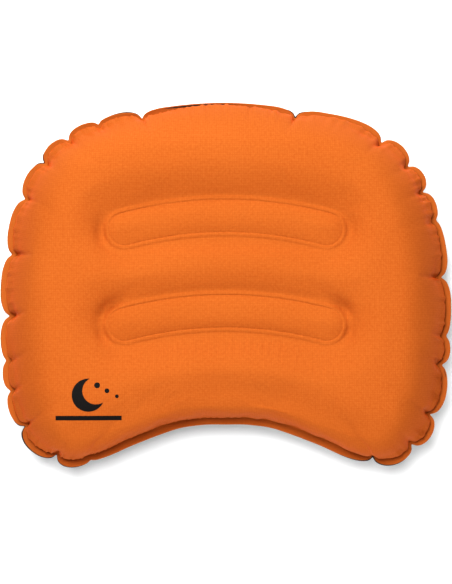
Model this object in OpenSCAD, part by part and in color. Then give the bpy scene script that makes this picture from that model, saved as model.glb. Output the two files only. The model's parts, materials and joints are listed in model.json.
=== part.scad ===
// Inflatable camp pillow: two welded fabric panels, two internal ties and a two-stage air valve.
// Millimetres, +Z up. The origin is on the floor under the middle of the pillow. The neck recess
// faces -Y. The air inside isn't a piece, so the panels are thin shells around an empty space.

/* [Pillow] */
// Width over the weld flange
pillow_w = 420; // [380:5:460]
// Depth over the weld flange, from the crown edge to the two neck lobes
pillow_d = 342; // [320:2:370]
// Height of the free crown above the floor
pillow_h = 105; // [95:1:120]
// How much of the inflated underside is pressed flat by the floor
floor_press = 2.5; // [1:0.5:5]
// Radius of the inflated roll beside the weld, in plan
edge_r = 52; // [45:1:60]
// Width of the welded flange at the sides, at the middle of a lobe
flange_w = 9; // [8:1:14]
// Width of the welded flange along the back and the neck
flange_back_w = 6; // [5:1:10]
// How far a pinched notch pulls the weld line inwards
notch_pull = 3.5; // [0:0.5:6]
// Thickness of one fabric panel
sheet_t = 0.6; // [0.4:0.1:1]

/* [Ties] */
// Length of a tie patch along its arc, over its round ends
tie_l = 226; // [200:1:240]
// Width of a tie patch
tie_w = 38; // [30:1:46]
// Radius of a tie's middle line
tie_r = 355; // [300:5:500]
// Y of the rear tie at the middle of the pillow
rear_tie_y = 62; // [58:1:66]
// Y of the front tie at the middle of the pillow
front_tie_y = -26; // [-29:1:-22]
// How far the ties pull each panel in from its free crown
valley_depth = 15; // [8:1:18]
// How far from a patch the panel is pulled down with it
valley_reach = 38; // [28:1:42]
// Thickness of the tie film
film_t = 0.5; // [0.3:0.1:0.8]

/* [Valve] */
// Y of the valve on the right-hand flank
valve_y = 30; // [20:5:40]
// How far the valve faces below the horizontal, in degrees
valve_tilt = 30; // [28:1:33]
// Outer radius of the ring that stands out of the fabric
ring_r = 17; // [16:0.5:18]
// Radius of the wide deflation mouth
dump_r = 13.5; // [13:0.25:14]
// Radius of the narrow inflation mouth
mouth_r = 7; // [6:0.25:7.5]

/* [Hidden] */
$fn = 64;

orange = [0.90, 0.40, 0.13];
charcoal = [0.20, 0.21, 0.23];
film = [0.85, 0.80, 0.74];
valve_black = [0.08, 0.08, 0.09];
flap_grey = [0.80, 0.82, 0.80];
ink = [0.07, 0.06, 0.07];

weld_z = (pillow_h - sheet_t + floor_press) / 2 - floor_press; // plane in which the panels are welded
crown_h = pillow_h - sheet_t - weld_z;  // free crown height of a panel over that plane
film_gap = 0.1;                         // glue line between a patch and its panel

// Outer radius of the flange's lobes about the origin, every 10 degrees from +Y round to -Y,
// for a pillow of the default width and depth. The left half mirrors the right half.
lobe_radii = [170.5, 172, 177, 186.5, 199.5, 210, 213, 211.5, 209.5, 210.5,
              214, 222.5, 234, 238.5, 222, 173, 144.5, 133, 130.5];
last_radius = len(lobe_radii) - 1;
step = 180 / last_radius;
table_w = 420;     // width and depth of the pillow that the radii were drawn for
table_d = 342;
scale_x = pillow_w / table_w;
scale_y = pillow_d / table_d;
notch_depth = 0.8; // share of the flange's width that a notch takes

// Directions, in degrees from +X, in which the flange is pinched into a notch
notches = [-127, -51, -41, -32, -20, -13, 2, 17, 25, 33, 43, 68, 116, 128, 137, 146, 157,
           172, 188, 199, 206, 215, 226];

function radius_at(k) = lobe_radii[k < 0 ? -k : k > last_radius ? 2 * last_radius - k : k];
function cubic(a, b, c, d, t) =
    b + t * (c - a + t * (2 * a - 5 * b + 4 * c - d + t * (3 * b - a - 3 * c + d))) / 2;

// Point on the smooth line over the flange's lobes, in direction f
function envelope(f) =
    let (g = abs(((90 - f + 540) % 360) - 180), k = floor(g / step),
         r = cubic(radius_at(k - 1), radius_at(k), radius_at(k + 1), radius_at(k + 2), g / step - k))
    [r * cos(f) * scale_x, r * sin(f) * scale_y];
function outward(f) =
    let (v = envelope(f + 1) - envelope(f - 1)) [v.y, -v.x] / norm(v);

function flange_at(f) = flange_back_w + (flange_w - flange_back_w) * pow(cos(f), 2);

// One entry per spoke: its direction and how far it stands from a notch, from 0 to 1
spoke_gap = 15; // distance between spokes along the edge
spokes = [for (k = [0:len(notches) - 1])
    let (a = notches[k], b = k + 1 < len(notches) ? notches[k + 1] : notches[0] + 360,
         span = b - a > 180 ? b - a - 360 : b - a,
         n = max(3, round(norm(envelope(b) - envelope(a)) / spoke_gap)))
    for (j = [0:n - 1]) [a + span * j / n, 1 - pow(abs(2 * j / n - 1), 3)]];

weld_line = [for (s = spokes)
    envelope(s[0]) - outward(s[0]) * (flange_at(s[0]) + notch_pull * (1 - s[1]))];
flange_line = [for (s = spokes)
    envelope(s[0]) - outward(s[0]) * flange_at(s[0]) * notch_depth * (1 - s[1])];

function to_segment(p, a, b) =
    let (v = b - a, t = max(0, min(1, (p - a) * v / (v * v)))) norm(p - a - v * t);
function to_weld(p) =
    min([for (i = [0:len(weld_line) - 1])
        to_segment(p, weld_line[i], weld_line[(i + 1) % len(weld_line)])]);

tie_half_angle = (tie_l - tie_w) / 2 / tie_r * 180 / PI;
function tie_centre(y) = [0, y - tie_r];
function to_tie(p, y) =
    let (q = p - tie_centre(y), a = max(-tie_half_angle, min(tie_half_angle, atan2(q.x, q.y))))
    norm(q - tie_r * [sin(a), cos(a)]) - tie_w / 2;

// How much of the valley a tie at y makes at p, from 0 to 1: steepest beside the patch
steepness = 1.7;
function pull_of(p, y) = pow(1 - max(0, min(1, to_tie(p, y) / valley_reach)), steepness);
function valley(p) =
    valley_depth * (1 - (1 - pull_of(p, rear_tie_y)) * (1 - pull_of(p, front_tie_y)));

// Rise of the inflated panel over the weld plane: a round roll that levels out, less the valleys
function rise(p) = let (u = min(1, to_weld(p) / edge_r)) crown_h * sqrt(1 - pow(1 - u, 2)) - valley(p);

function skin_z(p, side) =
    side > 0 ? weld_z + sheet_t + rise(p) : max(0, weld_z - sheet_t - rise(p));
function slope_normal(p, side) =
    let (e = 0.5,
         v = [skin_z(p - [e, 0], side) - skin_z(p + [e, 0], side),
              skin_z(p - [0, e], side) - skin_z(p + [0, e], side), 2 * e])
    side * v / norm(v);

// Rings of the crown, as shares of the way from the middle to the weld line
ring_shares = [0.985, 0.955, 0.915, 0.865, 0.81, 0.74, 0.66, 0.58, 0.5, 0.42, 0.33, 0.23, 0.12];

function lifted(p, side, out) = [p.x, p.y, skin_z(p, side) + side * out];
function sunk(p, side) = lifted(p, side, 0) - sheet_t * slope_normal(p, side);
function flat_ring(line, z) = [for (p = line) [p.x, p.y, z]];

// One panel as a closed shell: its flange, its outer face and its inner face
module panel(side) {
    n = len(spokes);
    outer = [for (s = ring_shares) [for (p = weld_line) lifted(s * p, side, 0)]];
    inner = [for (s = ring_shares) [for (p = weld_line) sunk(s * p, side)]];
    inner_weld = [for (i = [0:n - 1]) weld_line[i] - sheet_t * outward(spokes[i][0])];
    rings = concat(
        [flat_ring(flange_line, weld_z), flat_ring(flange_line, weld_z + side * sheet_t),
         flat_ring(weld_line, weld_z + side * sheet_t)],
        outer);
    back = concat([flat_ring(inner_weld, weld_z)], inner);
    m = len(rings);
    points = concat([for (r = rings) for (p = r) p], [for (r = back) for (p = r) p],
                    [lifted([0, 0], side, 0), sunk([0, 0], side)]);
    apex = len(points) - 2;
    function quad(a, b, i) =
        let (j = (i + 1) % n) [[a * n + i, b * n + i, a * n + j], [a * n + j, b * n + i, b * n + j]];
    outer_faces = [for (k = [0:m - 2]) for (i = [0:n - 1]) for (f = quad(k, k + 1, i)) f];
    inner_faces = [for (k = [m:m + len(back) - 2]) for (i = [0:n - 1]) for (f = quad(k + 1, k, i)) f];
    flange_faces = [for (i = [0:n - 1]) for (f = quad(m, 0, i)) f];
    caps = [for (i = [0:n - 1]) let (j = (i + 1) % n) for (f = [
        [(m - 1) * n + i, apex, (m - 1) * n + j],
        [(m + len(back) - 1) * n + j, apex + 1, (m + len(back) - 1) * n + i]]) f];
    faces = concat(outer_faces, inner_faces, flange_faces, caps);
    polyhedron(points, side > 0 ? faces : [for (f = faces) [f[2], f[1], f[0]]], convexity = 6);
}

// ---- internal ties ----

// Outline of a tie patch: an arc band with round ends. w is its width.
module arc_band(y, w, half_angle) {
    steps = 24;
    ends = 8;
    function at(r, a) = tie_centre(y) + r * [sin(a), cos(a)];
    function cap(a, turn) =
        [for (k = [1:ends - 1]) at(tie_r, a) + w / 2 * [sin(a + turn + 180 * k / ends),
                                                       cos(a + turn + 180 * k / ends)]];
    polygon(concat(
        [for (k = [0:steps]) at(tie_r + w / 2, half_angle * (2 * k / steps - 1))],
        cap(half_angle, 0),
        [for (k = [0:steps]) at(tie_r - w / 2, half_angle * (1 - 2 * k / steps))],
        cap(-half_angle, 180)));
}

top_patch_z = weld_z + crown_h - valley_depth - film_gap - film_t;
bottom_patch_z = weld_z - crown_h + valley_depth + film_gap;
patch_margin = 1.5; // the panel's weld rim stands this far outside the patch

module tie_patch(y, z) color(film)
    translate([0, 0, z]) linear_extrude(film_t) arc_band(y, tie_w - 2 * patch_margin, tie_half_angle);

module tie_web(y) color(film)
    translate([0, 0, bottom_patch_z + film_t])
        linear_extrude(top_patch_z - bottom_patch_z - film_t) arc_band(y, film_t, tie_half_angle);

module rear_tie_top_patch() tie_patch(rear_tie_y, top_patch_z);
module rear_tie_web() tie_web(rear_tie_y);
module rear_tie_bottom_patch() tie_patch(rear_tie_y, bottom_patch_z);
module front_tie_top_patch() tie_patch(front_tie_y, top_patch_z);
module front_tie_web() tie_web(front_tie_y);
module front_tie_bottom_patch() tie_patch(front_tie_y, bottom_patch_z);

// ---- valve, drawn with the fabric at z = 0 and +Z out of the pillow ----

fit = 0.1;           // clearance between neighbouring valve pieces
cut = 1;             // how far a cutting tool runs past the faces it cuts
edge = 0.5;          // chamfer on the rims that a hand touches
patch_r = 24;        // reinforced disc of fabric round the valve
disc_t = 1.2;        // thickness of the weld flange and of the lids
collar_t = 0.8;
ring_h = 4;          // height of the base ring over the fabric
lid_z = ring_h + fit;
plug_depth = 1.5;    // how far the plug reaches below the fabric
plug_top_r = dump_r - 0.15;
plug_tip_r = dump_r - 0.8; // tapered, so that it swings clear of the ring
neck_wall = 2;
neck_r = mouth_r + neck_wall;
neck_top = lid_z + 4;
cap_r = neck_r + 1;
stopper_h = 3;       // how far the cap's stopper reaches into the mouth
hinge_r = 0.7;       // half the thickness of a strap's bend
bend_gap = hinge_r + 0.05; // from a bend's axis down to the lug that it rolls on
dump_hinge = [-ring_r - 3.4, lid_z + 0.6];  // y and z of the plug's strap bend
cap_hinge = [neck_r + 3.6, neck_top + 0.7]; // y and z of the cap's strap bend
flap_t = 0.5;
flap_drop = 0.7;     // from the plug's tip down to the flap
flap_z = -plug_depth - flap_drop;
flap_lap = 1.5;      // how far the flap reaches past the mouth
spider_w = 1.2;      // bars that hold the flap off the mouth
spider_t = 1;
strap_w = 7;
lug_w = strap_w + 2;
tab_l = 3.5;         // finger tabs on the plug and the cap
ribs = 24;           // grip ribs round the plug's lid
rib_r = 0.45;
valve_inset = 4;     // the stiff valve flattens the roll by this much

// Middle of the roll's round section beside the valve, and the valve's place on its lower flank
flank_dir = asin(valve_y / (pillow_w / 2));
roll_x = envelope(flank_dir).x - flange_at(flank_dir) - edge_r;
valve_dist = edge_r - valve_inset;
valve_at = [roll_x + valve_dist * cos(valve_tilt), valve_y, weld_z - valve_dist * sin(valve_tilt)];

module at_valve() translate(valve_at) rotate([0, 90 + valve_tilt, 0]) children();

module tube(r_out, r_in, z0, z1) translate([0, 0, z0]) difference() {
    cylinder(r = r_out, h = z1 - z0);
    translate([0, 0, -cut]) cylinder(r = r_in, h = z1 - z0 + 2 * cut);
}

// A disc whose upper rim is chamfered
module lid(r, z0, z1) {
    translate([0, 0, z0]) cylinder(r = r, h = z1 - z0 - edge);
    translate([0, 0, z1 - edge]) cylinder(r1 = r, r2 = r - edge, h = edge);
}

module bore(r, z0, z1) translate([0, 0, z0 - cut]) cylinder(r = r, h = z1 - z0 + 2 * cut);

module strap_block(x, y0, y1, z0, z1) translate([-x / 2, min(y0, y1), z0]) cube([x, abs(y1 - y0), z1 - z0]);

module strap_bend(hinge, w) translate([-w / 2, hinge[0], hinge[1]]) rotate([0, 90, 0])
    cylinder(r = hinge_r, h = w);

module top_panel() color(orange) panel(1);

module bottom_panel() color(charcoal) difference() {
    panel(-1);
    at_valve() bore(patch_r + 2 * fit, -edge_r / 4, edge_r / 4);
}

module valve_patch() color(charcoal) at_valve() tube(patch_r, ring_r + fit, -sheet_t, 0);

module valve_collar() color(valve_black) at_valve() tube(patch_r - 2, ring_r + fit, 0, collar_t);

module valve_base() color(valve_black) at_valve() difference() {
    union() {
        translate([0, 0, -sheet_t - disc_t]) cylinder(r = patch_r - 1, h = disc_t);
        translate([0, 0, -sheet_t - disc_t]) cylinder(r = ring_r, h = ring_h + sheet_t + disc_t);
        strap_block(lug_w, -ring_r + 1.5, dump_hinge[0] - 1.5, collar_t + 0.4, dump_hinge[1] - bend_gap);
    }
    bore(dump_r, -sheet_t - disc_t, ring_h);
}

module dump_plug() color(valve_black) at_valve() {
    difference() {
        union() {
            lid(ring_r, lid_z, lid_z + disc_t);
            translate([0, 0, -plug_depth]) cylinder(r1 = plug_tip_r, r2 = plug_top_r, h = lid_z + plug_depth);
            translate([0, 0, lid_z]) cylinder(r = neck_r, h = neck_top - lid_z);
            strap_block(lug_w, ring_r - 1, ring_r + tab_l, lid_z, lid_z + disc_t);
            strap_block(strap_w, neck_r - 1, cap_hinge[0] + 1, lid_z + 0.5, cap_hinge[1] - bend_gap);
            for (k = [1:ribs - 1]) if (k != ribs / 2)
                rotate(k * 360 / ribs - 90) translate([ring_r, 0, lid_z]) cylinder(r = rib_r, h = disc_t - edge);
        }
        bore(mouth_r, -plug_depth, neck_top);
    }
    for (a = [0, 90]) rotate(a)
        translate([-mouth_r - 0.5, -spider_w / 2, -plug_depth]) cube([2 * mouth_r + 1, spider_w, spider_t]);
}

module dump_strap() color(valve_black) at_valve() {
    strap_block(strap_w, -ring_r - fit / 2, dump_hinge[0], lid_z + fit, lid_z + disc_t);
    strap_bend(dump_hinge, strap_w);
}

module one_way_flap() color(flap_grey) at_valve() {
    translate([0, 0, flap_z]) cylinder(r = mouth_r + flap_lap, h = flap_t);
    strap_block(5, -mouth_r - flap_lap - 1, -mouth_r + 0.5, flap_z, flap_z + flap_t);
}

module valve_cap() color(valve_black) at_valve() {
    lid(cap_r, neck_top + fit, neck_top + fit + disc_t);
    translate([0, 0, neck_top - stopper_h])
        cylinder(r1 = mouth_r - 0.6, r2 = mouth_r - fit, h = stopper_h + 2 * fit);
    strap_block(strap_w, -cap_r + 1, -cap_r - tab_l + 0.5, neck_top + fit, neck_top + fit + disc_t);
}

module cap_strap() color(valve_black) at_valve() {
    strap_block(strap_w - 2, cap_r + fit / 2, cap_hinge[0], neck_top + 2 * fit, neck_top + disc_t);
    strap_bend(cap_hinge, strap_w - 2);
}

// ---- printed mark: a crescent and three dots over a bar ----

mark_at = [-125, -103];
mark_gap = 0.3;  // clear of the panel, whose facets are coarser than the mark's
mark_t = 0.3;
mark_span = 36;  // from the mark's middle to the edge of the slab that it is cut from
slab_cells = 16;

module mark_outline() {
    difference() {
        circle(r = 15);
        translate([7, 4]) circle(r = 12.5);
    }
    for (k = [0:2]) translate([8 + 9 * k, 9 - 5 * k]) circle(r = 2.6 - 0.5 * k);
    translate([-30, -23]) square([60, 4]);
}

// A patch of the crown's outer face over the mark, lifted by lift, as a slab t thick
module crown_slab(lift, t) {
    n = slab_cells;
    cell = 2 * mark_span / n;
    grid = [for (l = [lift + t, lift]) [for (j = [0:n]) [for (i = [0:n])
        lifted(mark_at + [(i - n / 2) * cell, (j - n / 2) * cell], 1, l)]]];
    points = [for (layer = grid) for (row = layer) for (p = row) p];
    function id(layer, i, j) = layer * (n + 1) * (n + 1) + j * (n + 1) + i;
    function both(a, b, c, d) = [[a, b, c], [a, c, d]];
    top = [for (j = [0:n - 1]) for (i = [0:n - 1])
        for (f = both(id(0, i, j), id(0, i, j + 1), id(0, i + 1, j + 1), id(0, i + 1, j))) f];
    bottom = [for (j = [0:n - 1]) for (i = [0:n - 1])
        for (f = both(id(1, i, j), id(1, i + 1, j), id(1, i + 1, j + 1), id(1, i, j + 1))) f];
    walls = [for (i = [0:n - 1]) for (f = concat(
        both(id(0, i, 0), id(0, i + 1, 0), id(1, i + 1, 0), id(1, i, 0)),
        both(id(0, i + 1, n), id(0, i, n), id(1, i, n), id(1, i + 1, n)),
        both(id(0, 0, i + 1), id(0, 0, i), id(1, 0, i), id(1, 0, i + 1)),
        both(id(0, n, i), id(0, n, i + 1), id(1, n, i + 1), id(1, n, i)))) f];
    polyhedron(points, concat(top, bottom, walls), convexity = 4);
}

module printed_mark() color(ink) intersection() {
    crown_slab(mark_gap, mark_t);
    translate([mark_at.x, mark_at.y, 0]) linear_extrude(2 * pillow_h) mark_outline();
}

top_panel();
bottom_panel();
rear_tie_top_patch();
rear_tie_web();
rear_tie_bottom_patch();
front_tie_top_patch();
front_tie_web();
front_tie_bottom_patch();
valve_patch();
valve_base();
valve_collar();
dump_plug();
dump_strap();
one_way_flap();
valve_cap();
cap_strap();
printed_mark();
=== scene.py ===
import json
import math

import bmesh
import bpy
import numpy as np
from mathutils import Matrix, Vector


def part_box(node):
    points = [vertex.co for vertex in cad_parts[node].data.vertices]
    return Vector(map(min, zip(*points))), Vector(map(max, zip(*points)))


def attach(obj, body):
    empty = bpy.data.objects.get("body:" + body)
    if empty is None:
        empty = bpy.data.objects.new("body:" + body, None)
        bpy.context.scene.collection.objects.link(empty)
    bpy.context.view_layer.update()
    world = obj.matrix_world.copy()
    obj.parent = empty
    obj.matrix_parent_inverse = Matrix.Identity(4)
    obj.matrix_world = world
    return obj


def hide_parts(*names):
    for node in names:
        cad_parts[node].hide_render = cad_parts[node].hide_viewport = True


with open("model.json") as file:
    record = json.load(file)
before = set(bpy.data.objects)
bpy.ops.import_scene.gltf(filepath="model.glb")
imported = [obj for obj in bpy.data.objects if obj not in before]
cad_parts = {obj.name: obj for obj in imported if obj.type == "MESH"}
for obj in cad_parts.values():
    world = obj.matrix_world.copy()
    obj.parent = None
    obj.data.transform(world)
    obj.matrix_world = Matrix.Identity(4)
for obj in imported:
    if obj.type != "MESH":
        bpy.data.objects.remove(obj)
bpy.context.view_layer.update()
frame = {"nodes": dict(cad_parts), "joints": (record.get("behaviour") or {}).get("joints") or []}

# Inflatable camp pillow. Lengths are millimetres until a mesh is made; MM turns them into metres.
MM = 0.001
NODES = frame["nodes"]
JOINTS = {j["name"]: j for j in frame["joints"]}


# ---------------------------------------------------------------- sizes, from the frame and part.scad

PANEL_LOW, PANEL_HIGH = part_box("top_panel")
WELD_Z = PANEL_LOW[2] / MM                  # plane in which the panels are welded
PILLOW_H = PANEL_HIGH[2] / MM
SHEET_T = 0.6                               # the CAD panel's thickness
CROWN_H = PILLOW_H - SHEET_T - WELD_Z
EDGE_R = 52                                 # radius of the roll beside the weld, in plan
TOP_ROLL, BOTTOM_ROLL = 40, 52              # the same for each panel: the top is a little fuller
FLANGE_W, FLANGE_BACK_W = 9, 6              # flange at the sides, and at the back and neck
FABRIC_T = 0.35                             # what the eye sees of the fabric's thickness

# Outer radius of the flange's lobes, every 10 degrees from +Y round to -Y, and the notches' directions
LOBE_RADII = np.array([170.5, 172, 177, 186.5, 199.5, 210, 213, 211.5, 209.5, 210.5,
                       214, 222.5, 234, 238.5, 222, 173, 144.5, 133, 130.5])
NOTCHES = np.array([-127, -51, -41, -32, -20, -13, 2, 17, 25, 33, 43, 68, 116, 128, 137, 146, 157,
                    172, 188, 199, 206, 215, 226], float)
# How deep each notch is, from 0 to 1
NOTCH_DEPTHS = np.array([0.35, 1.0, 0.9, 0.9, 0.7, 0.45, 0.75, 0.45, 0.8, 0.9, 1.0, 1.0,
                         0.9, 0.55, 0.8, 0.8, 0.75, 0.7, 0.8, 0.45, 0.6, 0.9, 1.0])

LOBE_END = 21                               # length of a lobe's round end along the edge
LOBE_OVER, LOBE_UNDER = 1.5, 0.5            # how far a lobe reaches past the flange, and a notch inside it
LEAST_FLANGE = 0.8
WELD_HALF = 0.4                             # half the thickness of the welded seam

# The ties, whose welds show as islands at the bottom of two valleys
TIE_L, TIE_W, TIE_R = 226, 38, 355
REAR_TIE_Y, FRONT_TIE_Y = 62, -26
TIE_HALF_ANGLE = (TIE_L - TIE_W) / 2 / TIE_R
VALLEY_DEPTH, VALLEY_REACH = 14, 38         # the CAD's is 1 mm deeper, so its patches stay covered
END_RISE = 0.3                              # share of the valley's depth lost towards a tie's ends
RIM_W = 3.6                                 # width of an island's weld rim
BEAD, GROOVE = 0.65, 0.35                   # height of the rim's bead and depth of its groove
ISLAND_CROWN = 3.4                          # how far the fabric inside an island bulges
ISLANDS = [(REAR_TIE_Y, 0.65), (FRONT_TIE_Y, 0.2)]      # the tie, and how much more its back bulges
# Dents beside the islands' ends: tie, side, direction about the end and half width in degrees, depth
DENTS = [(REAR_TIE_Y, -1, 190, 36, 6.0), (REAR_TIE_Y, 1, 0, 34, 4.0), (FRONT_TIE_Y, -1, 135, 34, 7.0),
         (FRONT_TIE_Y, -1, 205, 26, 5.0), (FRONT_TIE_Y, 1, 45, 32, 7.0), (FRONT_TIE_Y, 1, -20, 24, 5.0)]
DENT_OFFSET, DENT_W = 4.0, 4.2              # place and half width of a dent outside an island's outline

# The roll beside the weld
NOTCH_PULL = 1.2                            # how far a notch pulls the weld line in
PINCH = 1.4                                 # and how much more right at the notch
PULL_FADE = 12                              # how far up the roll the pull reaches
CREASE_DEPTH, CREASE_WIDTH, CREASE_LENGTH = 7.2, 1.9, 66    # the crease that runs up the roll from a notch
CREASE_START, CREASE_SPREAD, CREASE_POWER = 8, 40, 1.3      # where it sets in, how it widens, its shape
SHOULDER = 0.6                              # how much the top's roll slopes instead of standing up, 0 to 1
NECK_SHARPER = 0.72                         # how much narrower the roll is at the neck
NECK_STEP, NECK_STEP_AT, NECK_STEP_W = 8, 21, 28            # a low step: height, place and width
BACK_DIP_FROM, BACK_DIP_TO, BACK_DIP_FADE = 66, 118, 12     # directions between which the back has a dip
BACK_DIP, BACK_DIP_AT, BACK_DIP_W = 2.6, 23, 8              # the dip's depth, place and width
BULGE = 4.3                                 # how far a lobe of the roll bulges out between two notches
BULGE_ANGLE = 0.56                          # where on the roll's section the bulge ends, in radians
NECK_CALM = 0.8                             # share of the bulge that the neck doesn't have
SAG, SAG_WAVE, SAG_NOTCH = 1.8, 1.2, 2.6    # the flange curls up, unevenly, and less at a notch
GATHER = 0.65                               # height of the fine puckers beside the weld
FRONT_GATHER = 1.6                          # how much higher they are in front of the front island

# The mesh of a crown: a square grid, bent to the outline
CELLS = 64                                  # cells from the middle to the weld line
ROLL_CELLS = 30                             # how many of them lie on the roll
MEAN_R = 190                                # middling radius of the weld line
CORNERS = [-45, 45, 135, 225, 315]          # directions of the grid's corners
CROWDING, CROWDING_W = 2.4, 7               # how much closer cells stand at a notch, and how far from it
FLANGE_RINGS = 4

# The cloth simulation
SIM_FRAMES = 22
SIM_CAP = 5                                 # most that the simulation may move a point
TAUT = 0.55                                 # share of the movement left out where the panel is held taut
TAUT_REACH = 32                             # how far from a tie's island it is held taut

# The valve, placed from the plug's hinge
HINGE_TO_AXIS, HINGE_OVER_FABRIC = 20.4, 4.7
VALVE_R, VALVE_FADE = 27, 16                # the panel is flat this far round the valve, then blends back
VALVE_REACH = 25                            # farther from the valve's plane is another part of the bag
HOLE_R = 24.1                               # radius of the bottom panel's hole for the valve's patch
HINGE = JOINTS["plug_hinge"]
VALVE_X = Vector(HINGE["axis"])                             # the valve's own X, along the plug's hinge
VALVE_Z = VALVE_X.cross(Vector((0, 1, 0))).normalized()     # out of the fabric
VALVE_AT = Vector(HINGE["pos_m"]) + Vector((0, HINGE_TO_AXIS, 0)) * MM - VALVE_Z * HINGE_OVER_FABRIC * MM
VALVE_AT = VALVE_AT / MM

# The printed mark
MARK_AT = np.array([-125, -103])
MARK_LIFT, MARK_T = 0.16, 0.12              # the ink's underside over the fabric, and its thickness
MARK_R, BITE_R, BITE_AT = 15, 12.5, np.array([7, 4])        # the crescent, and the round bite out of it
BAR_HALF, BAR_Y, BAR_W = 30, -23, 4

# The fabric's threads, in metres
RIPSTOP_PITCH, THREAD_PITCH = 0.0021, 0.0005

# Lights: name, place and target in metres, size in metres, power in watts
LIGHTS = [("key_softbox", (-0.13, 0.24, 1.54), (0, 0, 0.05), 0.62, 24.5),
          ("back_softbox", (-0.35, 1.45, 0.78), (0, 0, 0.05), 0.6, 17),
          ("front_softbox", (-0.1, -1.3, 0.5), (0, 0, 0.03), 0.7, 8),
          ("right_softbox", (1.35, 0.0, 0.42), (0, 0, 0.05), 0.7, 2.6)]
WORLD_LIGHT = 0.10
FLOOR_SIZE, FLOOR_GAP = 8, 0.0002
VIEW_ELEVATION, VIEW_DISTANCE, VIEW_WIDTH = 88, 1.8, 0.4257     # the camera, in degrees and metres
VIEW_TARGET = Vector((0.0005, -0.007, WELD_Z * MM))
SENSOR = 36


# ---------------------------------------------------------------- outline

def turn(a):
    """Angles in degrees, wrapped to -180..180."""
    return (np.asarray(a, float) + 180) % 360 - 180


def lobe_radius(f):
    """Radius of the line over the lobes in direction f, in degrees, by a cubic through LOBE_RADII."""
    g = np.abs(turn(90 - np.asarray(f, float))) / 10
    k = np.minimum(g.astype(int), 17)
    t = g - k
    table = np.concatenate([LOBE_RADII[1:2], LOBE_RADII, LOBE_RADII[-2:-1]])
    a, b, c, d = (table[k + i] for i in range(4))
    return b + t * (c - a + t * (2 * a - 5 * b + 4 * c - d + t * (3 * b - a - 3 * c + d))) / 2


def envelope(f):
    """Points of the line over the lobes."""
    r, a = lobe_radius(f), np.radians(f)
    return np.stack([r * np.cos(a), r * np.sin(a)], -1)


def outward(f):
    """Unit vectors out of the outline, in plan."""
    f = np.asarray(f, float)
    v = envelope(f + 1) - envelope(f - 1)
    n = np.stack([v[..., 1], -v[..., 0]], -1)
    return n / np.linalg.norm(n, axis=-1, keepdims=True)


def flange_at(f):
    """The flange's full width."""
    return FLANGE_BACK_W + (FLANGE_W - FLANGE_BACK_W) * np.cos(np.radians(f)) ** 2


def weld_point(f):
    """The smooth weld line, without its notches."""
    return envelope(f) - outward(f) * flange_at(f)[..., None]


def between_notches(f):
    """For each direction: its place u between two notches, 0..1, their depths and the gap in mm."""
    f = turn(f)
    order = np.argsort(turn(NOTCHES))
    at, depth = turn(NOTCHES)[order], NOTCH_DEPTHS[order]
    k = np.searchsorted(at, f, side="right") - 1
    low, high = at[k], at[(k + 1) % len(at)]
    span = np.where(high > low, high - low, high - low + 360)
    u = np.where(f >= low, f - low, f - low + 360) / span
    gap = np.radians(span) * lobe_radius(f)
    return u, depth[k], depth[(k + 1) % len(at)], gap


def lobe_fall(f, power=3.0):
    """1 at a notch of full depth, 0 at the middle of a lobe."""
    u, d0, d1, _ = between_notches(f)
    side = np.where(u < 0.5, d0, d1)
    return side * np.abs(2 * u - 1) ** power


def notch_ridge(f, width, power=2.0):
    """Bump, 1 at a notch and 0 a few widths from it, in mm along the edge, scaled by the notch's depth."""
    u, d0, d1, gap = between_notches(f)
    return d0 * np.exp(-(u * gap / width) ** power) + d1 * np.exp(-((1 - u) * gap / width) ** power)


def lobe_width(f):
    """Share of the flange's full width: each lobe has round ends and is cut through at its notches."""
    u, d0, d1, gap = between_notches(f)
    s = np.minimum(u, 1 - u) * gap
    depth = np.where(u < 0.5, d0, d1)
    end = np.minimum(LOBE_END, gap / 2)
    return 1 - depth * (1 - np.sqrt(1 - (1 - np.minimum(1, s / end)) ** 2))


def ripples(s):
    """A mix of short waves, about -1..1, of a place s along an edge."""
    return (np.sin(s / 0.95 + 0.6) + np.sin(s / 1.35 + 2.1) + 0.8 * np.sin(s / 2.1 + 4.0)) / 2.8


# ---------------------------------------------------------------- height field

def smoothstep(x):
    x = np.clip(x, 0, 1)
    return x * x * (3 - 2 * x)


DENSE = np.linspace(-180, 180, 1400, endpoint=False)
WELD_LINE = weld_point(DENSE)


def weld_distance(p):
    """Distance of each point from the smooth weld line."""
    a = WELD_LINE
    v = np.roll(a, -1, axis=0) - a
    vv = (v * v).sum(-1)
    out = np.empty(len(p))
    for i in range(0, len(p), 2000):
        q = p[i:i + 2000, None, :] - a[None]
        t = np.clip((q * v).sum(-1) / vv, 0, 1)
        out[i:i + 2000] = np.sqrt(((q - v * t[..., None]) ** 2).sum(-1).min(1))
    return out


def tie_distance(p, y):
    """Signed distance from the outline of a tie's island."""
    q = p - np.array([0, y - TIE_R])
    a = np.clip(np.arctan2(q[:, 0], q[:, 1]), -TIE_HALF_ANGLE, TIE_HALF_ANGLE)
    return np.hypot(q[:, 0] - TIE_R * np.sin(a), q[:, 1] - TIE_R * np.cos(a)) - TIE_W / 2


def tie_pull(p, y):
    """How much a tie pulls the panel in, 0..1: less towards the tie's ends."""
    ends = smoothstep((np.abs(p[:, 0]) - 0.5 * TIE_L / 2) / (0.75 * TIE_L / 2))
    return (1 - END_RISE * ends) * (1 - smoothstep(tie_distance(p, y) / VALLEY_REACH) ** 0.8)


def valley(p):
    """Depth of the ties' valleys at the points p."""
    return VALLEY_DEPTH * (1 - (1 - tie_pull(p, REAR_TIE_Y)) * (1 - tie_pull(p, FRONT_TIE_Y)))


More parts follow.
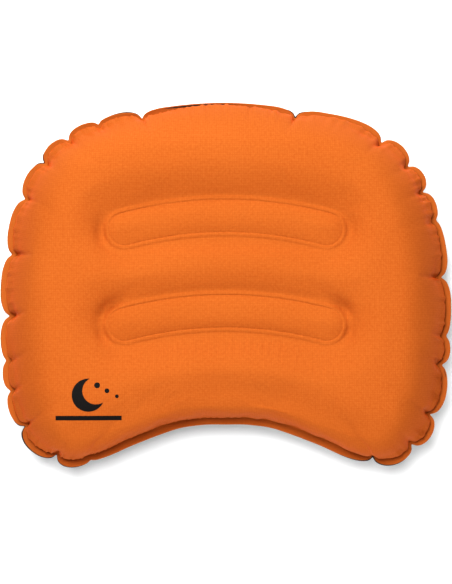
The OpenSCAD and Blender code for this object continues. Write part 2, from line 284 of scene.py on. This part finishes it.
def end_dents(p):
    """Depth of the dents beside the islands' ends."""
    total = np.zeros(len(p))
    for y, side, direction, half, depth in DENTS:
        x = side * TIE_R * math.sin(TIE_HALF_ANGLE)
        q = p - np.array([x, y - TIE_R + TIE_R * math.cos(TIE_HALF_ANGLE)])
        around = turn(np.degrees(np.arctan2(q[:, 1], q[:, 0])) - direction) / half
        away = (tie_distance(p, y) - DENT_OFFSET) / DENT_W
        total += depth * np.exp(-around ** 2 - away ** 2)
    return total


def island_crown(p):
    """The fabric inside an island's weld rim bulges a little, and more towards the back."""
    total = np.zeros(len(p))
    for y, skew in ISLANDS:
        depth = np.clip(-(tie_distance(p, y) + RIM_W) / (TIE_W / 2 - RIM_W), 0, 1)
        back = (np.hypot(p[:, 0], p[:, 1] - y + TIE_R) - TIE_R) / (TIE_W / 2)
        total += ISLAND_CROWN * (1 - (1 - depth) ** 2) * (1 + skew * np.clip(back, -1, 1))
    return total


# ---------------------------------------------------------------- crown grid

def side_angles(a, b, n, crowding):
    """n + 1 directions from a to b along the weld line, closer together at the notches."""
    f = np.linspace(a, b, 1200)
    w = weld_point(f)
    step = np.linalg.norm(np.diff(w, axis=0), axis=1) * (1 + crowding * notch_ridge(f[1:], CROWDING_W))
    s = np.concatenate([[0], np.cumsum(step)])
    return np.interp(np.linspace(0, s[-1], n + 1), s, f)


def ring_shares():
    """Share of the way to the weld line for each ring, closer together on the roll."""
    theta = np.linspace(0, math.pi / 2, ROLL_CELLS + 1)
    outer = 1 - EDGE_R * (1 - np.cos(theta)) / MEAN_R
    inner = np.linspace(outer[-1], 0, CELLS - ROLL_CELLS + 1)[1:]
    return np.concatenate([outer, inner])[::-1]


def crown_grid():
    """The square grid's vertices, as direction, share and ring, and its quads. Ring CELLS is the weld."""
    n = CELLS
    shares = ring_shares()
    even = [side_angles(CORNERS[k], CORNERS[k + 1], 2 * n, 0) for k in range(4)]
    crowded = [side_angles(CORNERS[k], CORNERS[k + 1], 2 * n, CROWDING) for k in range(4)]
    steps = np.linspace(0, 1, 2 * n + 1)
    index = {}
    direction, share, ring = [], [], []
    for j in range(-n, n + 1):
        for i in range(-n, n + 1):
            k = max(abs(i), abs(j))
            if i == k and j < k:
                side, t = 0, j + k
            elif j == k and i > -k:
                side, t = 1, k - i
            elif i == -k and j > -k:
                side, t = 2, k - j
            else:
                side, t = 3, i + k
            t /= max(1, 2 * k)
            outer = float(smoothstep((k / n - 0.4) / 0.25))
            inside, outside = np.interp(t, steps, even[side]), np.interp(t, steps, crowded[side])
            index[i, j] = len(direction)
            direction.append(inside * (1 - outer) + outside * outer)
            share.append(shares[k])
            ring.append(k)
    quads = [(index[i, j], index[i + 1, j], index[i + 1, j + 1], index[i, j + 1])
             for j in range(-n, n) for i in range(-n, n)]
    return np.array(direction), np.array(share), np.array(ring), np.array(quads)


# ---------------------------------------------------------------- inflated shape

def weld_inset(f):
    """How far the real weld line stands inside the smooth one."""
    return NOTCH_PULL * lobe_fall(f, 2) + PINCH * notch_ridge(f, CREASE_WIDTH)


def neck_share(f):
    """1 along the neck recess, 0 away from it."""
    return smoothstep((-np.sin(np.radians(f)) - 0.55) / 0.3)


def crown_points(f, share, side):
    """Points of the inflated crown, without cloth physics. side is 1 for the top and -1 for the bottom."""
    base = weld_point(f) * share[:, None]
    n = outward(f)
    d = weld_distance(base)
    d[share >= 1 - 1e-9] = 0
    neck = neck_share(f)
    roll = (TOP_ROLL if side > 0 else BOTTOM_ROLL) * (1 - NECK_SHARPER * neck)
    power = 1 + (SHOULDER if side > 0 else 0) * (1 - neck)
    theta = np.arccos(1 - np.minimum(1, d / roll))
    arc = theta * EDGE_R
    rise = CROWN_H * np.sin(theta) ** power - valley(base) + island_crown(base) - end_dents(base)
    rise -= NECK_STEP * neck * smoothstep((NECK_STEP_AT + NECK_STEP_W - d) / NECK_STEP_W) * np.sin(theta)
    if side > 0:
        between = smoothstep((f - BACK_DIP_FROM) / BACK_DIP_FADE)
        between *= smoothstep((BACK_DIP_TO - f) / BACK_DIP_FADE)
        rise -= BACK_DIP * between * np.exp(-((d - BACK_DIP_AT) / BACK_DIP_W) ** 2)
    fall = lobe_fall(f, 2)
    weld = weld_inset(f) * np.exp(-(arc / PULL_FADE) ** 2)
    spread = CREASE_WIDTH * (1 + arc / CREASE_SPREAD)
    along = smoothstep(arc / CREASE_START) * (1 - smoothstep(arc / CREASE_LENGTH))
    crease = CREASE_DEPTH * notch_ridge(f, spread, CREASE_POWER) * along
    t = np.minimum(1, theta / BULGE_ANGLE)
    bump = np.sin(math.pi * t) ** np.where(t > 0.5, 2, 1)
    bulge = BULGE * (1 - NECK_CALM * neck) * (1 - fall) * bump
    inward = weld + crease - bulge
    plan = base - n * (inward * np.cos(theta))[:, None]
    z = WELD_Z + side * (WELD_HALF + rise - inward * np.sin(theta))
    return np.column_stack([plan, np.maximum(z, 0) if side < 0 else z])


def flat_uv(f, share):
    """Each point's place on the flat-cut panel, in metres."""
    base = weld_point(f) * share[:, None]
    d = weld_distance(base)
    d[share >= 1 - 1e-9] = 0
    theta = np.arccos(1 - np.minimum(1, d / EDGE_R))
    spare = EDGE_R * (math.pi / 2 - theta) - (EDGE_R - np.minimum(d, EDGE_R))
    return (base + outward(f) * spare[:, None]) * MM


def dish_valve(points):
    """Presses the bottom panel flat round the valve."""
    at, z = np.array(VALVE_AT), np.array(VALVE_Z)
    q = points - at
    h = q @ z
    r = np.linalg.norm(q - h[:, None] * z, axis=1)
    w = np.where(np.abs(h) < VALVE_REACH, 1 - smoothstep((r - VALVE_R) / VALVE_FADE), 0)
    return points - (h * w)[:, None] * z


def mesh_object(name, points, faces):
    """A new object from points in millimetres."""
    me = bpy.data.meshes.new(name)
    corners = [tuple(int(i) for i in face) for face in faces]
    me.from_pydata([tuple(p) for p in np.asarray(points) * MM], [], corners)
    me.validate()
    me.update()
    o = bpy.data.objects.new(name, me)
    bpy.context.scene.collection.objects.link(o)
    return o


def read_points(me):
    a = np.empty(len(me.vertices) * 3)
    me.vertices.foreach_get("co", a)
    return a.reshape(-1, 3) / MM


def write_points(me, points):
    me.vertices.foreach_set("co", (np.asarray(points) * MM).ravel())
    me.update()


def hold(bag, points, rim, edge):
    """Groups the points that the weld, the ties and the valve hold, and says how far the others shrink."""
    group = bag.vertex_groups.new(name="held")
    slack = bag.vertex_groups.new(name="slack")
    held = rim.copy()
    for y in (REAR_TIE_Y, FRONT_TIE_Y):
        d = tie_distance(points[:, :2], y)
        held |= (d < 0.5) & (d > -RIM_W - 0.5)
    held |= np.linalg.norm(points - np.array(VALVE_AT), axis=1) < VALVE_R + 1
    for i in np.flatnonzero(held):
        group.add([int(i)], 1, "REPLACE")
    for i, loose in enumerate(smoothstep((edge - 0.55) / 0.35)):
        slack.add([i], float(1 - loose), "REPLACE")


def press_air(bag):
    """Where air pressure pushes the bag's points in Blender's cloth simulation."""
    cloth = bag.modifiers.new("Cloth", "CLOTH")
    s = cloth.settings
    s.quality = 6
    s.mass = 0.25
    s.tension_stiffness = 25
    s.compression_stiffness = 12
    s.shear_stiffness = 8
    s.bending_stiffness = 0.35
    s.vertex_group_mass = "held"
    s.pin_stiffness = 2
    s.use_pressure = True
    s.uniform_pressure_force = 4
    s.vertex_group_shrink = "slack"
    s.shrink_min = -0.02
    s.shrink_max = 0.004
    s.effector_weights.gravity = 0
    cloth.collision_settings.use_collision = False
    cloth.point_cache.frame_start = 1
    cloth.point_cache.frame_end = SIM_FRAMES
    scene = bpy.context.scene
    scene.frame_start, scene.frame_end = 1, SIM_FRAMES
    for t in range(1, SIM_FRAMES + 1):
        scene.frame_set(t)
    graph = bpy.context.evaluated_depsgraph_get()
    done = read_points(bag.evaluated_get(graph).to_mesh())
    scene.frame_set(1)
    return done


def calm(plan, edge, f):
    """1 where the ties, the plateau or the neck keep the fabric taut, 0 where it is free to move."""
    near_tie = np.minimum(tie_distance(plan, REAR_TIE_Y), tie_distance(plan, FRONT_TIE_Y))
    by_tie = np.exp(-(np.maximum(0, near_tie) / TAUT_REACH) ** 4)
    on_plateau = 1 - smoothstep((edge - 0.72) / 0.16)
    return np.maximum(np.maximum(by_tie, on_plateau), neck_share(f))


def inflate(top, bottom, f, ring, quads):
    """Closes both crowns into one bag, lets air pressure round it and returns the crowns."""
    n = len(top)
    rim = ring == CELLS
    free = np.flatnonzero(~rim)
    other = np.where(rim, np.arange(n), 0)      # each top point's counterpart at the bottom
    other[free] = n + np.arange(len(free))
    points = np.vstack([top, bottom[free]])
    faces = np.vstack([quads, other[quads][:, ::-1]])
    bag = mesh_object("bag", points, faces)
    edge = np.concatenate([ring, ring[free]]) / CELLS
    hold(bag, points, np.concatenate([rim, rim[free]]), edge)
    done = press_air(bag)
    bpy.data.objects.remove(bag)
    share = calm(points[:, :2], edge, np.concatenate([f, f[free]]))
    move = (done - points) * (1 - TAUT * share)[:, None]
    size = np.linalg.norm(move, axis=1, keepdims=True)
    done = points + move * np.minimum(1, SIM_CAP / np.maximum(size, 1e-9))
    new_bottom = done[other]
    new_bottom[:, 2] = np.maximum(new_bottom[:, 2], 0)
    new_bottom[rim] = bottom[rim]
    new_top = done[:n].copy()
    new_top[rim] = top[rim]
    return new_top, new_bottom


# ---------------------------------------------------------------- panels

def no_extra(f):
    return np.zeros(len(f))


def peeking(f):
    """The bottom sheet was trimmed a little wider in places, and shows at some lobes."""
    out = np.full(len(f), -0.7)
    for at, half in ((120, 7), (68, 4), (-134, 9), (-50, 8), (146, 3), (-144, 4)):
        out += 1.7 * np.exp(-(turn(f - at) / half) ** 2)
    return out


def flange_rings(f, side, extra):
    """Rings of the welded flange from the weld line to its edge, for the boundary directions f."""
    n = outward(f)
    w = flange_at(f)
    inner = weld_point(f) - n * weld_inset(f)[:, None]
    reach = (w + LOBE_OVER) * lobe_width(f) - LOBE_UNDER
    outer = inner + n * np.maximum(LEAST_FLANGE, reach + extra)[:, None]
    rings = []
    sag = SAG + SAG_WAVE * np.cos(np.radians(3 * f + 40)) - SAG_NOTCH * notch_ridge(f, 4)
    for k in range(1, FLANGE_RINGS + 1):
        t = k / FLANGE_RINGS
        p = inner + (outer - inner) * t
        z = WELD_Z + side * WELD_HALF + sag * t * t
        rings.append(np.column_stack([p, z]))
    return rings


def build_panel(name, crown, f, ring, quads, uv, side, extra):
    """One panel: its crown and its flange, subdivided, detailed and given the fabric's thickness."""
    rim = np.flatnonzero(ring == CELLS)
    rim = rim[np.argsort(turn(f[rim]))]
    n = len(crown)
    m = len(rim)
    rings = flange_rings(f[rim], side, extra(f[rim]))
    points = np.vstack([crown] + rings)
    uvs = [uv]
    for k in range(1, FLANGE_RINGS + 1):
        uvs.append(uv[rim] + outward(f[rim]) * (flange_at(f[rim]) * k / FLANGE_RINGS * MM)[:, None])
    uvs = np.vstack(uvs)
    loops = [rim] + [n + k * m + np.arange(m) for k in range(FLANGE_RINGS)]
    strips = []
    for a, b in zip(loops, loops[1:]):
        strips.append(np.column_stack([a, b, np.roll(b, -1), np.roll(a, -1)]))
    faces = np.vstack([quads] + strips)
    if side < 0:
        faces = faces[:, ::-1]
    o = mesh_object(name, points, faces)
    layer = o.data.uv_layers.new(name="cloth")
    loop_vertex = np.empty(len(o.data.loops), int)
    o.data.loops.foreach_get("vertex_index", loop_vertex)
    layer.data.foreach_set("uv", uvs[loop_vertex].ravel())
    # The weld attribute masks the flange, where the fabric material paints shade.
    weld = o.data.attributes.new("weld", "FLOAT", "POINT")
    weld.data.foreach_set("value", np.concatenate([np.zeros(n), np.ones(m * FLANGE_RINGS)]))
    apply_modifier(o, "SUBSURF", levels=1, render_levels=1)
    refine_islands(o.data)
    if side < 0:
        open_mouth(o.data)
    write_points(o.data, island_details(read_points(o.data), side))
    apply_modifier(o, "SOLIDIFY", thickness=FABRIC_T * MM, offset=-1)
    o.data.polygons.foreach_set("use_smooth", np.ones(len(o.data.polygons), bool))
    o.data.update()
    return o


def apply_modifier(o, kind, **values):
    """Adds a modifier and replaces the mesh with its result."""
    m = o.modifiers.new(kind.lower(), kind)
    for key, value in values.items():
        setattr(m, key, value)
    graph = bpy.context.evaluated_depsgraph_get()
    me = bpy.data.meshes.new_from_object(o.evaluated_get(graph))
    o.modifiers.clear()
    old = o.data
    o.data = me
    bpy.data.meshes.remove(old)


def from_valve(p):
    """The place p seen from the valve: its way out from the axis and its height, in metres."""
    q = p - VALVE_AT * MM
    h = q.dot(VALVE_Z)
    return q - VALVE_Z * h, h


def open_mouth(me):
    """Cuts the panel's round hole for the valve's patch."""
    bm = bmesh.new()
    bm.from_mesh(me)
    hole = []
    for face in bm.faces:
        out, h = from_valve(face.calc_center_median())
        if out.length < HOLE_R * MM and abs(h) < 10 * MM:
            hole.append(face)
    bmesh.ops.delete(bm, geom=hole, context="FACES")
    for v in {v for e in bm.edges if e.is_boundary for v in e.verts}:
        out, h = from_valve(v.co)
        if out.length < (HOLE_R + 5) * MM and abs(h) < 10 * MM:
            v.co += out.normalized() * HOLE_R * MM - out
    bm.to_mesh(me)
    bm.free()
    me.update()


def rim_distances(points):
    return [tie_distance(points[:, :2], y) for y in (REAR_TIE_Y, FRONT_TIE_Y)]


def refine_islands(me):
    """Splits the faces along the islands' weld rims, fine enough for the rim's bead and groove."""
    bm = bmesh.new()
    bm.from_mesh(me)
    centres = np.array([f.calc_center_median() for f in bm.faces]) / MM
    near = np.abs(centres[:, 2] - WELD_Z) > 20
    close = [np.abs(d + RIM_W / 2) < RIM_W / 2 + 2.2 for d in rim_distances(centres)]
    chosen = np.flatnonzero(near & (close[0] | close[1]))
    bm.faces.ensure_lookup_table()
    edges = list({e for i in chosen for e in bm.faces[i].edges})
    bmesh.ops.subdivide_edges(bm, edges=edges, cuts=2, use_grid_fill=True)
    bm.to_mesh(me)
    bm.free()
    me.update()


def gathers(points, side):
    """Fine puckers up the roll from the weld, and in front of the front island."""
    out = points.copy()
    plan = points[:, :2]
    lift = side * (points[:, 2] - WELD_Z)
    f = np.degrees(np.arctan2(plan[:, 1], plan[:, 0]))
    s = np.radians(f) * lobe_radius(f)
    on_roll = smoothstep((lift - 3) / 5) * np.exp(-(np.maximum(0, lift - 8) / 20) ** 2)
    out[:, :2] -= outward(f) * (GATHER * 1.3 * ripples(s) * on_roll)[:, None]
    out[:, 2] -= side * GATHER * ripples(s) * on_roll
    q = plan - np.array([0, FRONT_TIE_Y - TIE_R])
    front = np.exp(-((np.hypot(q[:, 0], q[:, 1]) - TIE_R + TIE_W / 2 + 13) / 7) ** 2)
    angle = np.arctan2(q[:, 0], q[:, 1])
    front *= 1 - smoothstep((np.abs(angle) - 0.7 * TIE_HALF_ANGLE) / (0.5 * TIE_HALF_ANGLE))
    if side > 0:
        out[:, 2] += FRONT_GATHER * GATHER * ripples(1.4 * angle * TIE_R) * front * (lift > 20)
    return out


def island_details(points, side):
    """Fine puckers, and each island's weld rim: a low bead, with a fine groove on its inner side."""
    out = gathers(points, side)
    near = np.abs(points[:, 2] - WELD_Z) > 20
    for d in rim_distances(points):
        bead = smoothstep((d + RIM_W + 0.3) / 0.9) * smoothstep((0.8 - d) / 2.2)
        groove = np.exp(-((d + RIM_W + 0.35) / 0.6) ** 2)
        out[:, 2] += np.where(near, side * (BEAD * bead - GROOVE * groove), 0)
    if side < 0:
        out[:, 2] = np.maximum(out[:, 2], 0)
    return out


# ---------------------------------------------------------------- printed mark

def ribbon(left, right, across):
    """A strip of quads between two lines of points."""
    t = np.linspace(0, 1, across + 1)[:, None, None]
    points = (left * (1 - t) + right * t).reshape(-1, 2)
    m = len(left)
    faces = [(k * m + i, k * m + i + 1, (k + 1) * m + i + 1, (k + 1) * m + i)
             for k in range(across) for i in range(m - 1)]
    return points, faces


def arc_points(centre, r, a, b, n):
    t = np.radians(np.linspace(a, b, n))
    return np.array(centre) + r * np.stack([np.cos(t), np.sin(t)], -1)


def mark_shapes():
    """A crescent, three dots and a bar, each as flat points and quads."""
    gap = np.linalg.norm(BITE_AT)
    lean = math.degrees(math.atan2(BITE_AT[1], BITE_AT[0]))
    outer = math.degrees(math.acos((MARK_R ** 2 + gap ** 2 - BITE_R ** 2) / (2 * MARK_R * gap)))
    inner = math.degrees(math.acos((MARK_R ** 2 - gap ** 2 - BITE_R ** 2) / (2 * BITE_R * gap)))
    yield ribbon(arc_points((0, 0), MARK_R, lean + outer, lean + 360 - outer, 48),
                 arc_points(BITE_AT, BITE_R, lean + inner, lean + 360 - inner, 48), 10)
    for k in range(3):
        centre, r = (8 + 9 * k, 9 - 5 * k), 2.6 - 0.5 * k
        yield ribbon(arc_points(centre, 0.05, 0, 360, 25), arc_points(centre, r, 0, 360, 25), 3)
    x = np.linspace(BAR_HALF, -BAR_HALF, 49)
    bar = np.stack([x, np.full(len(x), BAR_Y)], -1)
    yield ribbon(bar, bar + np.array([0, BAR_W]), 4)


def build_mark(panel):
    """Lays the printed shapes on the panel's own surface."""
    points, faces = [], []
    for flat, quads in mark_shapes():
        start = len(points)
        faces += [tuple(start + i for i in q) for q in quads]
        for x, y in flat + MARK_AT:
            _, at, _, _ = panel.ray_cast(Vector((x, y, 200)) * MM, Vector((0, 0, -1)))
            points.append((x, y, at.z / MM + MARK_LIFT))
    o = mesh_object("printed_crescent", points, faces)
    apply_modifier(o, "SOLIDIFY", thickness=MARK_T * MM, offset=1)
    bm = bmesh.new()
    bm.from_mesh(o.data)
    bmesh.ops.remove_doubles(bm, verts=bm.verts, dist=0.01 * MM)
    bmesh.ops.recalc_face_normals(bm, faces=bm.faces)
    bm.to_mesh(o.data)
    bm.free()
    return o


# ---------------------------------------------------------------- materials

class Nodes:
    """Small helper for building a node material."""

    def __init__(self, name):
        self.material = bpy.data.materials.new(name)
        self.material.use_nodes = True
        self.tree = self.material.node_tree
        self.shader = self.tree.nodes["Principled BSDF"]

    def add(self, kind, values=None, **props):
        n = self.tree.nodes.new(kind)
        for key, value in props.items():
            setattr(n, key, value)
        for key, value in (values or {}).items():
            if isinstance(value, bpy.types.NodeSocket):
                self.tree.links.new(value, n.inputs[key])
            else:
                n.inputs[key].default_value = value
        return n

    def math(self, operation, a, b=0.0, c=0.0):
        return self.add("ShaderNodeMath", {0: a, 1: b, 2: c}, operation=operation).outputs[0]

    def mix(self, factor, a, b):
        n = self.add("ShaderNodeMix", {"Factor": factor}, data_type="RGBA")
        for socket, value in ((n.inputs[6], a), (n.inputs[7], b)):
            if isinstance(value, bpy.types.NodeSocket):
                self.tree.links.new(value, socket)
            else:
                socket.default_value = value
        return n.outputs[2]

    def noise(self, vector, scale, detail=3.0):
        values = {"Vector": vector, "Scale": scale, "Detail": detail}
        return self.add("ShaderNodeTexNoise", values).outputs["Fac"]

    def set(self, **values):
        names = {"color": "Base Color", "roughness": "Roughness", "normal": "Normal",
                 "sheen": "Sheen Weight", "sheen_roughness": "Sheen Roughness", "sheen_tint": "Sheen Tint",
                 "specular": "Specular IOR Level", "specular_tint": "Specular Tint"}
        for key, value in values.items():
            socket = self.shader.inputs[names[key]]
            if isinstance(value, bpy.types.NodeSocket):
                self.tree.links.new(value, socket)
            else:
                socket.default_value = value


def fabric_material(name, base, dark, bright, painted_flange_shade, sheen, gloss):
    """Coated ripstop: a fine weave, a grid of thicker threads, slow colour variation, and painted shade:
    the welded flange is darkened.
    """
    n = Nodes(name)
    uv = n.add("ShaderNodeUVMap", uv_map="cloth").outputs[0]
    xyz = n.add("ShaderNodeSeparateXYZ", {0: uv})

    def threads(pitch, sharp):
        lines = []
        for axis in (0, 1):
            wave = n.math("COSINE", n.math("MULTIPLY", xyz.outputs[axis], 2 * math.pi / pitch))
            lines.append(n.math("POWER", n.math("MULTIPLY_ADD", wave, 0.5, 0.5), sharp))
        return lines

    grid = threads(RIPSTOP_PITCH, 6)
    fine = threads(THREAD_PITCH, 1)
    ripstop = n.math("MAXIMUM", grid[0], grid[1])
    weave = n.math("MULTIPLY", fine[0], fine[1])
    slow = n.noise(uv, 14, 2)
    mottle = n.noise(uv, 420, 3)
    tone = n.math("MULTIPLY_ADD", slow, 0.5, n.math("MULTIPLY_ADD", mottle, 1.6, -0.55))
    color = n.mix(tone, dark, bright)
    color = n.mix(0.4, color, base)
    color = n.mix(n.math("MULTIPLY", ripstop, 0.42), color, dark)
    # Painted shade: where the weld attribute marks the flange, the colour is mixed 70% towards the darker
    # flange colour.
    weld = n.add("ShaderNodeAttribute", attribute_name="weld").outputs["Fac"]
    color = n.mix(n.math("MULTIPLY", weld, 0.7), color, painted_flange_shade)
    height = n.math("MULTIPLY_ADD", ripstop, 0.6, n.math("MULTIPLY", weave, 0.4))
    bump = n.add("ShaderNodeBump", {"Strength": 0.35, "Distance": 0.00025, "Height": height})
    n.set(color=color, roughness=n.math("MULTIPLY_ADD", mottle, 0.12, 0.52), normal=bump.outputs[0],
          sheen=0.3, sheen_roughness=0.45, sheen_tint=sheen, specular=0.04, specular_tint=gloss)
    return n.material


def moulded_material(name, color, roughness=0.42):
    """Moulded plastic with a fine grain and slightly rubbed patches."""
    n = Nodes(name)
    at = n.add("ShaderNodeTexCoord").outputs["Object"]
    grain = n.noise(at, 2600, 4)
    rub = n.noise(at, 90, 3)
    lighter = tuple(min(1, c * 1.5 + 0.01) for c in color[:3]) + (1,)
    bump = n.add("ShaderNodeBump", {"Strength": 0.25, "Distance": 0.0001, "Height": grain})
    n.set(color=n.mix(n.math("MULTIPLY", rub, 0.6), color, lighter),
          roughness=n.math("MULTIPLY_ADD", rub, 0.2, roughness - 0.1), normal=bump.outputs[0])
    return n.material


def film_material():
    """Cloudy, milky film."""
    n = Nodes("tie_film")
    at = n.add("ShaderNodeTexCoord").outputs["Object"]
    cloud = n.noise(at, 60, 3)
    n.set(color=n.mix(cloud, (0.62, 0.57, 0.49, 1), (0.78, 0.74, 0.66, 1)), roughness=0.55)
    return n.material


def ink_material():
    """Nearly black ink, a little uneven."""
    n = Nodes("print_ink")
    at = n.add("ShaderNodeTexCoord").outputs["Object"]
    fade = n.noise(at, 700, 3)
    n.set(color=n.mix(n.math("MULTIPLY", fade, 0.5), (0.006, 0.005, 0.005, 1), (0.020, 0.015, 0.012, 1)),
          roughness=0.7, specular=0.15)
    return n.material


# Each fabric's fourth colour is painted shade for the welded flange.
ORANGE = fabric_material("orange_ripstop", (0.405, 0.118, 0.025, 1), (0.34, 0.086, 0.017, 1),
                         (0.46, 0.148, 0.035, 1), (0.36, 0.112, 0.028, 1), (1, 0.12, 0.0, 1),
                         (1, 0.60, 0.15, 1))
CHARCOAL = fabric_material("charcoal_ripstop", (0.028, 0.028, 0.031, 1), (0.018, 0.018, 0.020, 1),
                           (0.042, 0.042, 0.046, 1), (0.020, 0.020, 0.022, 1), (0.6, 0.6, 0.65, 1),
                           (1, 1, 1, 1))
BLACK = moulded_material("valve_black", (0.018, 0.018, 0.020, 1))
SILICONE = moulded_material("silicone", (0.50, 0.52, 0.50, 1), 0.35)


def paint(o, material):
    o.data.materials.clear()
    o.data.materials.append(material)


# ---------------------------------------------------------------- build

f, share, ring, quads = crown_grid()
top = crown_points(f, share, 1)
bottom = dish_valve(crown_points(f, share, -1))
top, bottom = inflate(top, bottom, f, ring, quads)
uv = flat_uv(f, share)

top_panel = build_panel("orange_top_panel", top, f, ring, quads, uv, 1, no_extra)
paint(top_panel, ORANGE)
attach(top_panel, "pillow")
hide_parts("top_panel")

bottom_panel = build_panel("charcoal_bottom_panel", bottom, f, ring, quads, uv, -1, peeking)
paint(bottom_panel, CHARCOAL)
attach(bottom_panel, "pillow")
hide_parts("bottom_panel")

for name in ("valve_base", "valve_collar", "dump_plug", "dump_strap", "valve_cap", "cap_strap"):
    paint(NODES[name], BLACK)
paint(NODES["valve_patch"], moulded_material("patch_film", (0.026, 0.026, 0.029, 1), 0.55))
paint(NODES["one_way_flap"], SILICONE)
FILM = film_material()
for name in NODES:
    if "_tie_" in name:
        paint(NODES[name], FILM)
mark = build_mark(top_panel)
paint(mark, ink_material())
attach(mark, "pillow")
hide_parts("printed_mark")


# ---------------------------------------------------------------- stage, lights and camera

def floor():
    bpy.ops.mesh.primitive_plane_add(size=FLOOR_SIZE, location=(0, 0, -FLOOR_GAP))
    o = bpy.context.object
    o.name = "floor"
    n = Nodes("floor")
    n.set(color=(0.75, 0.75, 0.75, 1), roughness=0.9, specular=0.1)
    n.shader.inputs["Emission Color"].default_value = (1, 1, 1, 1)
    n.shader.inputs["Emission Strength"].default_value = 0.16
    paint(o, n.material)


def area_light(name, at, target, size, power):
    light = bpy.data.lights.new(name, "AREA")
    light.energy = power
    light.size = size
    o = bpy.data.objects.new(name, light)
    o.location = at
    o.rotation_euler = (Vector(target) - Vector(at)).to_track_quat("-Z", "Y").to_euler()
    bpy.context.scene.collection.objects.link(o)


def camera():
    data = bpy.data.cameras.new("camera")
    data.sensor_fit = "HORIZONTAL"
    data.sensor_width = SENSOR
    data.lens = SENSOR * VIEW_DISTANCE / VIEW_WIDTH
    data.clip_end = 20
    o = bpy.data.objects.new("camera", data)
    a = math.radians(VIEW_ELEVATION)
    o.location = VIEW_TARGET + VIEW_DISTANCE * Vector((0, -math.cos(a), math.sin(a)))
    o.rotation_euler = (math.pi / 2 - a, 0, 0)
    bpy.context.scene.collection.objects.link(o)
    bpy.context.scene.camera = o


floor()
for light in LIGHTS:
    area_light(*light)
world = bpy.data.worlds.new("world")
world.use_nodes = True
world.node_tree.nodes["Background"].inputs[0].default_value = (1, 1, 1, 1)
world.node_tree.nodes["Background"].inputs[1].default_value = WORLD_LIGHT
bpy.context.scene.world = world
bpy.context.scene.view_settings.view_transform = "Standard"
bpy.context.scene.view_settings.look = "High Contrast"
camera()
